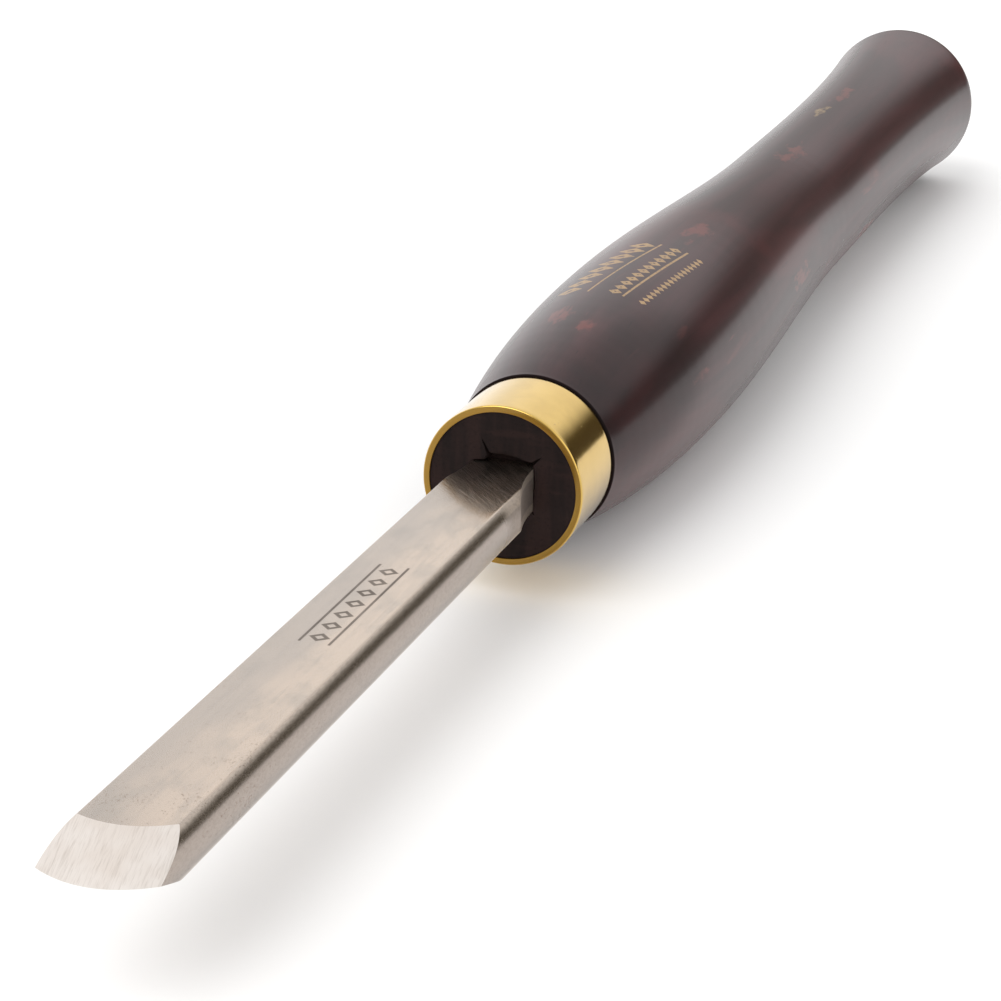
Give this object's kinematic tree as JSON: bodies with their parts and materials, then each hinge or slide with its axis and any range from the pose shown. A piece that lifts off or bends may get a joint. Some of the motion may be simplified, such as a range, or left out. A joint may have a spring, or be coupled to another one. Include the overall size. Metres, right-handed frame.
{
  "type": "wood turning chisel",
  "caption": "Hand turning chisel: flat double-bevelled steel blade with rounded sides, tang, brass ferrule and turned hardwood handle.",
  "frame": {"origin": "on the handle's axis, at the middle of the ferrule's length", "axes": "+Y along the handle's axis towards the butt, +X across the blade, +Z out of the blade's upper flat"},
  "size_m": [0.0386, 0.4388, 0.0386],
  "materials": {
    "blade_steel": "satin ground hardened steel with fine pits",
    "ferrule_brass": "polished and lacquered brass",
    "handle_wood": "dark plum-brown hardwood under satin lacquer"
  },
  "bodies": {
    "root": {"blade": "blade_steel", "ferrule": "ferrule_brass", "handle": "handle_wood"}
  },
  "joints": []
}
